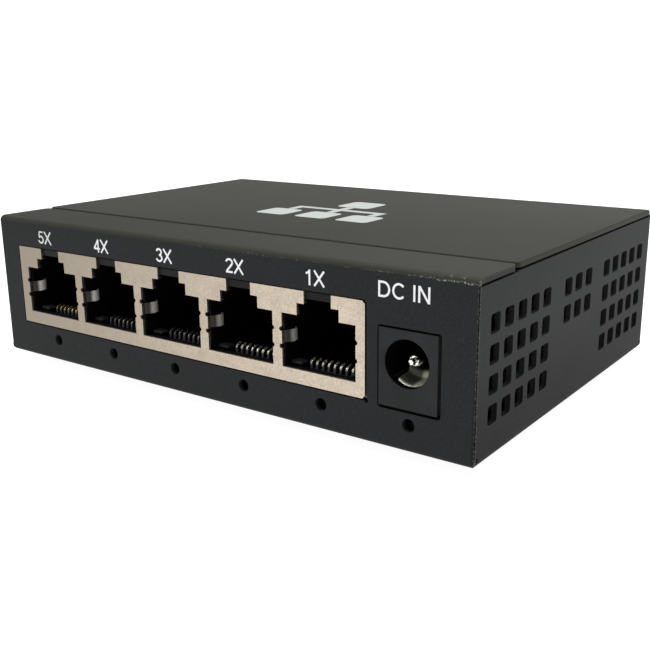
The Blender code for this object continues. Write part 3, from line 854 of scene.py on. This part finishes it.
def keyhole_outline(x, y):
    half_gap = math.degrees(math.asin(KEYHOLE_NECK / KEYHOLE_HEAD))
    head = arc((x, y), (KEYHOLE_HEAD, KEYHOLE_HEAD), 90.0 + half_gap, 450.0 - half_gap, 32)
    return head + arc((x, y + KEYHOLE_LONG), (KEYHOLE_NECK, KEYHOLE_NECK), 0.0, 180.0, 12)


def strip_corner_cutter(x, side):
    """What rounds one rear corner of the front strip."""
    centre = (x + side * STRIP_CORNER, STRIP_DEPTH - STRIP_CORNER)
    rounding = arc(centre, (STRIP_CORNER, STRIP_CORNER), 90.0, 90.0 + side * 90.0, 8)
    outline = [(x - side, STRIP_DEPTH + PAST), *rounding, (x - side, centre[1])]
    return prism(outline, 2, UNDER_STRIP - 0.1, STRIP_TOP + PAST)


def case_rooms():
    """The inside of the case, the cover's seat, and the gaps beside and behind the front strip."""
    yield box((SHEET, SHEET, SHEET), (WIDTH - SHEET, DEPTH - SHEET, SIDE_TOP - SHEET))
    yield box((SHEET, SHEET, FLANGE_LOW), (WIDTH - SHEET, COVER_FRONT, UNDER_STRIP))
    yield box((-PAST, STRIP_DEPTH, SIDE_TOP), (WIDTH + PAST, DEPTH - SHEET, ABOVE_ALL))
    seat = UNDER_COVER - 0.03
    yield box((-PAST, DEPTH - SHEET - 0.1, seat), (WIDTH + PAST, DEPTH + PAST, ABOVE_ALL))
    yield box((FLANGE_WIDTH, STRIP_DEPTH, FLANGE_LOW), (WIDTH - FLANGE_WIDTH, DEPTH - SHEET, ABOVE_ALL))
    for low, high in ((-PAST, SEAM_REACH), (WIDTH - SEAM_REACH, WIDTH + PAST)):
        yield box((low, 0.3, UNDER_STRIP - GAP), (high, COVER_FRONT, UNDER_STRIP))
        yield box((low, STRIP_DEPTH, UNDER_STRIP - GAP), (high, COVER_FRONT, ABOVE_ALL))


def slits_cutter():
    corners = [(x, y) for y in (0.0, DEPTH) for x in (0.0, WIDTH)]
    front_top = UNDER_STRIP - GAP / 2
    tops = (front_top, front_top, ABOVE_ALL, ABOVE_ALL)
    return joined([slit_cutter(corner, top) for corner, top in zip(corners, tops)])


def floor_cutter():
    """Round holes for the board's standoffs, and two keyholes to hang the switch by."""
    top = SHEET + 0.5
    shapes = []
    for number in (1, 2, 3, 4):
        middle = middle_of(f"board_standoff_{number}")[:2]
        shapes.append(turned(((-PAST, STANDOFF_HOLE), (top, STANDOFF_HOLE)), middle, 2, 32))
    for x in KEYHOLE_X:
        shapes.append(prism(keyhole_outline(x, KEYHOLE_Y), 2, -PAST, top))
    return joined(shapes)


def rear_cutter():
    """Round holes for the cover's screws."""
    profile = ((DEPTH - SHEET - 0.5, SCREW_HOLE), (DEPTH + PAST, SCREW_HOLE))
    shapes = []
    for side in ("left", "right"):
        x, _, z = middle_of(f"cover_screw_{side}")
        shapes.append(turned(profile, (x, z), 1, 32))
    return joined(shapes)


def make_case(surface):
    shell = box((0.0, 0.0, 0.0), (WIDTH, DEPTH, STRIP_TOP))
    bevel_where(shell, lambda point: point.z < TINY, BEND, 6)
    bevel_where(shell, lambda point: point.y < TINY and point.z > STRIP_TOP - TINY, STRIP_BEND, 8)
    case = place("case_shell", shell, surface)
    for shape in case_rooms():
        carve(case, shape)
    carve(case, slits_cutter())
    carve(case, joined(notch_cutters()))
    carve(case, vent_cutter())
    for shape in front_cutters():
        carve(case, shape)
    for x, side in ((0.0, 1.0), (WIDTH, -1.0)):
        carve(case, strip_corner_cutter(x, side))
    carve(case, floor_cutter())
    carve(case, rear_cutter())
    soften(case, 0.08)
    belongs(case, "case", "coated_steel", "chassis")


def make_cover(surface):
    """The cover plate, with its rear flange and the two tongues that hook under the front strip."""
    outline = rounded_outline((0.0, COVER_FRONT), (WIDTH, DEPTH), COVER_CORNER, 8)
    plate = prism(outline, 2, UNDER_COVER, COVER_TOP)
    bevel_where(plate, lambda point: point.z > COVER_TOP - TINY, 0.25, 4)
    cover = place("cover_plate", plate, surface)
    back = DEPTH - SHEET - GAP
    into_plate = UNDER_COVER + 0.3
    carve(cover, box((8.0, back - SHEET, COVER_LOW.z), (WIDTH - 8.0, back, into_plate)), "UNION")
    tongue_top = UNDER_STRIP - GAP
    under = tongue_top - SHEET
    near = COVER_FRONT + 1.2
    far = COVER_FRONT + 2.4
    profile = [(COVER_LOW.y, under), (far, under), (far, into_plate), (near, into_plate)]
    profile += [(near, tongue_top), (COVER_LOW.y, tongue_top)]
    starts = (TONGUE_INSET, WIDTH - TONGUE_INSET - TONGUE_WIDTH)
    tongues = [prism(profile, 0, x, x + TONGUE_WIDTH) for x in starts]
    carve(cover, joined(tongues), "UNION")
    soften(cover, 0.07)
    belongs(cover, "case", "coated_cover", "top_cover")


# ---- sockets ----

def opening_outline(x, top):
    wide, shoulder, latch = OPENING_HALF
    low, body, step = OPENING_Z[:3]
    half = [(wide, low), (wide, body), (shoulder, body), (shoulder, step), (latch, step), (latch, top)]
    return [(x + across, z) for across, z in half] + [(x - across, z) for across, z in reversed(half)]


def opening_bites(x):
    """Small round bites out of an opening's sides, above and below each grounding tab."""
    profile = ((-0.6, BITE), (SHIELD_SHEET + 0.5, BITE))
    for side, reach in ((-1.0, 0.12), (1.0, -0.06)):
        for z in (TAB_Z[0] - BITE, TAB_Z[1] + BITE):
            yield turned(profile, (x + side * (OPENING_HALF[0] + reach), z), 1, 20)


def corner_nick(z):
    """What nicks the shield's right edge at one end."""
    nick = box((-0.3, -PAST, -0.3), (0.3, SHIELD_SHEET + 0.3, 0.3))
    bmesh.ops.rotate(nick, verts=nick.verts, matrix=Matrix.Rotation(math.radians(45.0), 3, "Y"))
    bmesh.ops.translate(nick, verts=nick.verts, vec=(SHIELD_HIGH.x, 0.0, z))
    return nick


def make_shield(surface):
    shield = place("socket_shield", box(SHIELD_LOW, SHIELD_HIGH), surface)
    low = SHIELD_LOW + Vector((SHIELD_SHEET, SHIELD_SHEET, -PAST))
    carve(shield, box(low, SHIELD_HIGH - Vector((SHIELD_SHEET,) * 3)))
    openings = []
    bites = []
    for index in range(PORTS):
        x = port_x(index)
        openings.append(prism(opening_outline(x, SHIELD_CUT_TOP), 1, -0.6, SHIELD_SHEET + 0.5))
        bites.extend(opening_bites(x))
    carve(shield, joined(openings))
    carve(shield, joined(bites))
    for z in (SHIELD_LOW.z, SHIELD_HIGH.z):
        carve(shield, corner_nick(z))
    soften(shield, 0.11, 3)
    belongs(shield, "case", "nickel_plate", "jack_shield")


def make_tabs(surface):
    """Grounding tabs: each runs back from behind the shield's face and bulges into the socket."""
    for index in range(PORTS):
        shapes = []
        for side in (-1.0, 1.0):
            points = [(port_x(index) + side * (OPENING_HALF[0] + out), y) for out, y in TAB_PATH]
            shapes.append(prism(strip_outline(smooth_path(points, 4), TAB_SHEET), 2, *TAB_Z))
        tabs = place(f"grounding_tabs_{index + 1}", joined(shapes), surface)
        soften(tabs, 0.05)
        belongs(tabs, "case", "nickel_plate")


def make_housing(index, surface, dark):
    """A socket's plastic body: opening, windows for the tabs, floor recess, latch ledge and guide ribs."""
    x = port_x(index)
    low, high = case_box(f"port_housing_{index + 1}")
    front = low.y
    housing = place(f"socket_body_{index + 1}", box(low, high), surface)
    carve(housing, prism(opening_outline(x, LATCH_TOP), 1, front - 0.5, CAVITY_END))
    windows = []
    for side in (-1.0, 1.0):
        ends = sorted((x + side * 5.9, x + side * 6.74))
        windows.append(box((ends[0], front - 0.5, TAB_Z[0] - 0.1), (ends[1], 4.2, TAB_Z[1] + 0.1)))
    carve(housing, joined(windows))
    recess_low = (x - 4.1, front + 0.7, low.z + 0.85)
    carve(housing, box(recess_low, (x + 4.4, CAVITY_END - 2.0, OPENING_Z[0] + 0.6)))
    added = [box((x - 2.2, front - 0.38, LATCH_TOP), (x + 2.2, front + 0.15, OPENING_Z[3] - 0.05))]
    for number in range(CONTACTS + 1):
        middle = x + (number - CONTACTS / 2) * CONTACT_PITCH
        added.append(box((middle - 0.2, 11.2, 9.2), (middle + 0.2, 12.7, 12.4)))
    for shape in added:
        carve(housing, shape, "UNION")
    soften(housing, 0.07)
    # Painted shade: faces deeper than half a millimetre behind the socket's front take the near-black
    # inside shade.
    refinish(housing, dark, lambda point: point.y > front + 0.5)
    belongs(housing, "case", "black_plastic", f"port_housing_{index + 1}")


def make_rails(index, surface):
    """The two low rails beside a socket's contacts."""
    x = port_x(index)
    shapes = []
    for left, right in RAILS_X:
        shapes.append(box((x + left, RAIL_Y[0], RAIL_Z[0]), (x + right, RAIL_Y[1], RAIL_Z[1])))
    rails = place(f"socket_rails_{index + 1}", joined(shapes), surface)
    soften(rails, 0.2, 3)
    belongs(rails, "case", "black_plastic")


def contact_path(x):
    """One contact's centre line: forward under the bend, up its front, over, and up the long beam."""
    y, z = CONTACT_HINGE
    front = y - CONTACT_BEND
    knots = [(x, y + 1.2, 7.05), (x, y + 0.25, 7.02), (x, front + 0.03, 7.2), (x, front - 0.02, 7.6)]
    knots.append((x, front, z))
    bend = arc(CONTACT_HINGE, (CONTACT_BEND, CONTACT_BEND), 150.0, 80.0, 2)
    knots += [(x, *point) for point in bend]
    knots += [(x, y + 0.7, z + CONTACT_BEND + 0.2), (x, y + 3.6, z + 1.65), (x, *CONTACT_TIP)]
    return smooth_path(knots, 4)


def make_contacts(index, gold, black):
    """A socket's eight wires, and the plastic bar that carries them on their hinge."""
    x = port_x(index)
    body = f"contacts_{index + 1}"
    shapes = []
    for number in range(CONTACTS):
        middle = x + (number - (CONTACTS - 1) / 2) * CONTACT_PITCH
        shapes.append(swept(contact_path(middle), WIRE_WIDTH, WIRE_THICKNESS))
    wires = place(f"socket_wires_{index + 1}", joined(shapes), gold)
    smooth(wires)
    belongs(wires, body, "gold_plate", f"port_contacts_{index + 1}")
    y, z = CONTACT_HINGE
    carrier = box((x - 4.1, y + 0.45, z - 0.62), (x + 4.1, y + 1.05, z - 0.2))
    bar = place(f"wire_carrier_{index + 1}", carrier, black)
    soften(bar, 0.08)
    belongs(bar, body, "black_plastic")


def make_power_body(black, dark):
    axis = (POWER_X, POWER_AXIS_Z)
    body = place("power_body", box(POWER_LOW, POWER_HIGH), black)
    bore = ((-0.5, 0.16), (0.0, 0.16), (0.04, 0.08), (0.12, 0.02), (0.22, 0.0), (POWER_BORE_END, -0.2))
    profile = [(along, POWER_BORE + wider) for along, wider in bore]
    carve(body, turned(profile, axis, 1, 72))
    carve(body, turned(((POWER_BORE_END - 0.5, 1.3), (POWER_END, 1.3)), axis, 1, 32))
    room_low = (POWER_X - LEAF_ROOM_HALF, LEAF_ROOM_FRONT, LEAF_ROOM_Z[0])
    carve(body, box(room_low, (POWER_X + LEAF_ROOM_HALF, POWER_END, LEAF_ROOM_Z[1])))
    soften(body, 0.16, 3)

    def inside(point):
        between = POWER_LOW.x + 0.3 < point.x < POWER_HIGH.x - 0.3
        near = math.hypot(point.x - axis[0], point.z - axis[1]) < POWER_BORE + 0.1
        return point.y > 0.12 and between and near

    # Painted shade: the bore's walls take the near-black inside shade.
    refinish(body, dark, inside)
    belongs(body, "case", "black_plastic", "dc_jack_body")


def make_power_pin(surface):
    profile = [(PIN_TIP + along, radius) for along, radius in PIN_PROFILE]
    profile.append((POWER_END, PIN_RADIUS))
    pin = place("power_pin", turned(profile, (POWER_X, POWER_AXIS_Z), 1, 40), surface)
    soften(pin, 0.04)
    belongs(pin, "case", "pin_metal", "dc_center_pin")


def leaf_section(shape, y, z):
    """One ring of the leaf's points: along its upper face, then along its lower face."""
    ring = []
    left, right = LEAF_SIDES
    curved = min(1.0, max(0.0, (LEAF_CURVE_START - y) / LEAF_CURVE_RUN))
    for layer in (0.0, -LEAF_SHEET):
        for column in range(LEAF_COLUMNS):
            across = left + (right - left) * column / (LEAF_COLUMNS - 1)
            rise = LEAF_CURVE - math.sqrt(LEAF_CURVE ** 2 - across ** 2)
            ring.append(shape.verts.new((POWER_X + across, y, z + rise * curved + layer)))
    return ring[:LEAF_COLUMNS] + ring[:LEAF_COLUMNS - 1:-1]


def make_power_leaf(surface):
    shape = bmesh.new()
    rings = [leaf_section(shape, *point) for point in smooth_path(LEAF_PATH, 4)]
    leaf = place("power_leaf", skinned(shape, rings), surface)
    smooth(leaf)
    belongs(leaf, "dc_leaf", "leaf_brass", "dc_leaf_spring")


# ---- printed marks ----

def glyph(letter):
    """A plain sans-serif letter one unit tall: the width it takes, and its strokes."""
    edge = STROKE / 2
    top = 1.0 - edge
    bowl = (0.40, 0.5 - edge)
    widths = {"X": 0.90, "D": 1.02, "C": 1.02, "I": 0.36, "N": 0.96, " ": 0.36}
    strokes = {
        "1": [[(0.44, 0.0), (0.44, 1.0)], [(0.44, top - 0.03), (0.35, 0.83), (0.16, 0.74)]],
        "2": [arc((0.37, 0.71), (0.27, 0.225), 172, -28) + [(0.11, 0.08)], [(0.06, edge), (0.66, edge)]],
        "3": [arc((0.36, 0.72), (0.23, 0.215), 165, -90), arc((0.36, 0.285), (0.27, 0.22), 90, -168)],
        "4": [[(0.52, 0.0), (0.52, 1.0)], [(0.53, 0.95), (0.09, 0.33)], [(0.03, 0.29), (0.70, 0.29)]],
        "5": [[(0.62, top), (0.21, top), (0.15, 0.50)], arc((0.36, 0.325), (0.28, 0.26), 140, -165)],
        "X": [[(0.07, 0.0), (0.83, 1.0)], [(0.07, 1.0), (0.83, 0.0)]],
        "D": [[(0.16, 0.0), (0.16, 1.0)], [(0.16, top), *arc((0.46, 0.5), bowl, 90, -90), (0.16, edge)]],
        "C": [arc((0.52, 0.5), bowl, 42, 318, 24)],
        "I": [[(0.18, 0.0), (0.18, 1.0)]],
        "N": [[(0.15, 0.0), (0.15, 1.0)], [(0.17, 0.97), (0.79, 0.03)], [(0.81, 0.0), (0.81, 1.0)]],
        " ": [],
    }
    return widths.get(letter, 0.74), strokes[letter]


def make_label(name, text, middle_x, low, high, surface):
    """Printed lettering on the front panel, each stroke a thousandth of a millimetre over the last."""
    tall = high - low
    start = middle_x - sum(glyph(letter)[0] for letter in text) * tall / 2
    shapes = []
    for letter in text:
        wide, strokes = glyph(letter)
        for number, stroke in enumerate(strokes):
            path = [(start + across * tall, low + up * tall) for across, up in stroke]
            proud = PRINT + 0.001 * number
            shapes.append(prism(strip_outline(path, STROKE * tall), 1, -proud, 0.02))
        start += wide * tall
    label = place(name, joined(shapes), surface)
    belongs(label, "case", None)


def make_labels(surface):
    for index in range(PORTS):
        middle = LABEL_FIRST_X + index * LABEL_PITCH
        make_label(f"label_port_{index + 1}", f"{PORTS - index}X", middle, *LABEL_Z, surface)
    make_label("label_power", "DC IN", POWER_LABEL_X, *POWER_LABEL_Z, surface)


def make_emblem(surface):
    """A generic network sign on the cover: one node over a bus with three nodes below."""

    def slab(low, high, corner):
        low = [middle + part for middle, part in zip(EMBLEM_MIDDLE, low)]
        high = [middle + part for middle, part in zip(EMBLEM_MIDDLE, high)]
        return prism(rounded_outline(low, high, corner, 5), 2, COVER_TOP - 0.01, COVER_TOP + PRINT)

    shapes = [slab((-3.4, 3.4), (3.4, 10.2), 1.1)]
    shapes.append(slab((-BUS_HALF, BUS_HALF), (BUS_HALF, 3.2), 0.05))
    shapes.append(slab((-9.2, -BUS_HALF), (9.2, 0.7), 0.05))
    for x in EMBLEM_COLUMNS:
        shapes.append(slab((x - BUS_HALF, -3.2), (x + BUS_HALF, -0.8), 0.05))
        shapes.append(slab((x - 3.1, -9.6), (x + 3.1, -3.4), 1.0))
    emblem = place("network_emblem", joined(shapes), surface)
    belongs(emblem, "case", None)


# ---- feet and fasteners ----

def make_feet(surface):
    for side in ("front_left", "front_right", "rear_left", "rear_right"):
        shape = turned(FOOT_PROFILE, middle_of(f"foot_{side}")[:2], 2, 56)
        foot = place(f"rubber_foot_{side}", shape, surface)
        smooth(foot, 50.0)
        belongs(foot, "case", "black_rubber", f"foot_{side}")


def make_cover_screws(surface):
    """Pan-head screws with a cross recess, in the rear wall."""
    head = DEPTH + 0.02
    dome = head + SCREW_RIM
    for side in ("left", "right"):
        node = f"cover_screw_{side}"
        start = case_box(node)[0].y
        x, _, z = middle_of(node)
        profile = [(start, 1.0), (start + 0.3, 1.25), (head, 1.25), (head, 2.62), (dome, SCREW_HEAD)]
        profile += arc((dome, 0.35 * SCREW_HEAD), (SCREW_DOME, 0.65 * SCREW_HEAD), 90.0, 0.0, 7)[1:]
        screw = place(f"cover_screw_head_{side}", turned(profile, (x, z), 1), surface)
        for wide, tall in (SCREW_CROSS, reversed(SCREW_CROSS)):
            carve(screw, box((x - wide, head + 0.45, z - tall), (x + wide, head + 3.0, z + tall)))
        soften(screw, 0.06)
        belongs(screw, "case", "zinc_steel", node)


def finish_nodes(surface, *starts):
    """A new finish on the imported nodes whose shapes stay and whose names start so."""
    for name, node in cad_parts.items():
        if name.startswith(starts):
            node.data.materials.clear()
            node.data.materials.append(surface)


# ---- stage ----

def make_stage():
    """A pale floor, bright enough by itself to look like white paper in the light."""
    shape = bmesh.new()
    bmesh.ops.create_circle(shape, cap_ends=True, radius=FLOOR_RADIUS, segments=96)
    mesh = bpy.data.meshes.new("floor")
    shape.to_mesh(mesh)
    shape.free()
    made = Surface("floor_paper", (0.26, 0.26, 0.26), 0.9, specular=0.05)
    made.stain((0.25, 0.25, 0.25), made.noise(60.0, 3.0), 0.3, 0.7, 0.3)
    set_inputs(made.shader, {"Emission Color": (1.0,) * 4, "Emission Strength": FLOOR_GLOW})
    mesh.materials.append(made.material)
    linked("floor", mesh)


def soft_light(name, place_at, aim, wide, power):
    """A square lamp; places are in the frame's metres."""
    data = bpy.data.lights.new(name, "AREA")
    data.shape = "SQUARE"
    data.size = wide
    data.energy = power
    lamp = linked(name, data)
    lamp.location = place_at
    lamp.rotation_euler = (Vector(aim) - Vector(place_at)).to_track_quat("-Z", "Y").to_euler()


def make_world():
    """White at the horizon, dimmer higher up."""
    world = bpy.data.worlds.new("studio")
    world.use_nodes = True
    nodes, links = world.node_tree.nodes, world.node_tree.links
    parts = nodes.new("ShaderNodeSeparateXYZ")
    ramp = nodes.new("ShaderNodeMapRange")
    ramp.interpolation_type = "SMOOTHSTEP"
    set_inputs(ramp, {"From Min": 0.12, "From Max": 0.30})
    mix = nodes.new("ShaderNodeMix")
    mix.data_type = "RGBA"
    set_inputs(mix, {"A": (*HORIZON_LIGHT, 1.0), "B": (*UPPER_LIGHT, 1.0)})
    links.new(nodes.new("ShaderNodeTexCoord").outputs["Generated"], parts.inputs["Vector"])
    links.new(parts.outputs["Z"], ramp.inputs["Value"])
    links.new(ramp.outputs["Result"], mix.inputs["Factor"])
    links.new(mix.outputs["Result"], nodes["Background"].inputs["Color"])
    bpy.context.scene.world = world


def make_lights():
    make_world()
    soft_light("overhead_softbox", (0.05, 0.15, 0.95), (0.0, 0.05, 0.0), 1.2, 20.0)
    soft_light("front_softbox", (-0.50, -0.42, 0.60), (0.0, 0.0, 0.0), 0.2, 0.75)
    bpy.context.scene.view_settings.view_transform = "Standard"


def make_camera():
    data = bpy.data.cameras.new("camera")
    data.sensor_width = 36.0
    data.lens = CAMERA_LENS
    data.clip_start = 0.005
    data.clip_end = 20.0
    camera = linked("camera", data)
    forward = Vector(CAMERA_FORWARD).normalized()
    right = Vector(CAMERA_RIGHT).normalized()
    turn = Matrix((right, right.cross(forward), -forward)).transposed()
    stand = Matrix.Translation(CASE_LOW + Vector(CAMERA_PLACE) * MM)
    camera.matrix_world = stand @ turn.to_4x4()
    bpy.context.scene.camera = camera


def main():
    make_camera()
    make_stage()
    make_lights()
    black = plastic("socket_plastic", (0.0035, 0.0035, 0.0038), 0.45, specular=0.15)
    # Painted highlight: the rails take a lighter grey copy of the socket black, standing in for their soft
    # highlight.
    rail_highlit_black = plastic("rail_plastic_highlit", (0.03, 0.03, 0.033), 0.4, specular=0.5)
    power_black = plastic("power_plastic", (0.0120, 0.0125, 0.0138), 0.6, 0.15, 0.006)
    dark = painted_inside_shade("socket_inside_shade")
    gold = contact_gold()

    make_case(case_coat())
    make_cover(cover_coat())
    make_shield(nickel())
    make_tabs(tab_nickel())
    for index in range(PORTS):
        make_housing(index, black, dark)
        make_rails(index, rail_highlit_black)
        make_contacts(index, gold, black)
    make_power_body(power_black, dark)
    make_power_pin(pin_nickel())
    make_power_leaf(leaf_brass())
    make_labels(ink("label_ink", (0.80, 0.81, 0.83), 0.5))
    make_emblem(ink("emblem_ink", (0.36, 0.375, 0.37), 0.0))
    make_feet(rubber())
    make_cover_screws(metal("screw_zinc", (0.62, 0.62, 0.63), 0.3, 0.25))
    finish_nodes(board_mask(), "circuit_board")
    finish_nodes(metal("standoff_brass", (0.10, 0.08, 0.045), 0.45), "board_standoff")
    finish_nodes(metal("dull_zinc", (0.05, 0.05, 0.05), 0.5), "board_screw", "crystal", "dc_pin_terminal")
    chip = plastic("chip_epoxy", (0.02, 0.02, 0.022), 0.5, 0.1)
    finish_nodes(chip, "magnetics", "switch_chip", "memory_chip", "regulator_chip")
    finish_nodes(plastic("ferrite", (0.03, 0.03, 0.03), 0.7, 0.3, 0.02), "power_inductor")
    finish_nodes(plastic("can_sleeve", (0.010, 0.010, 0.012), 0.5, 0.3), "capacitor")
    finish_nodes(lamp_lens(), "port_lamp", "power_lamp")


main()
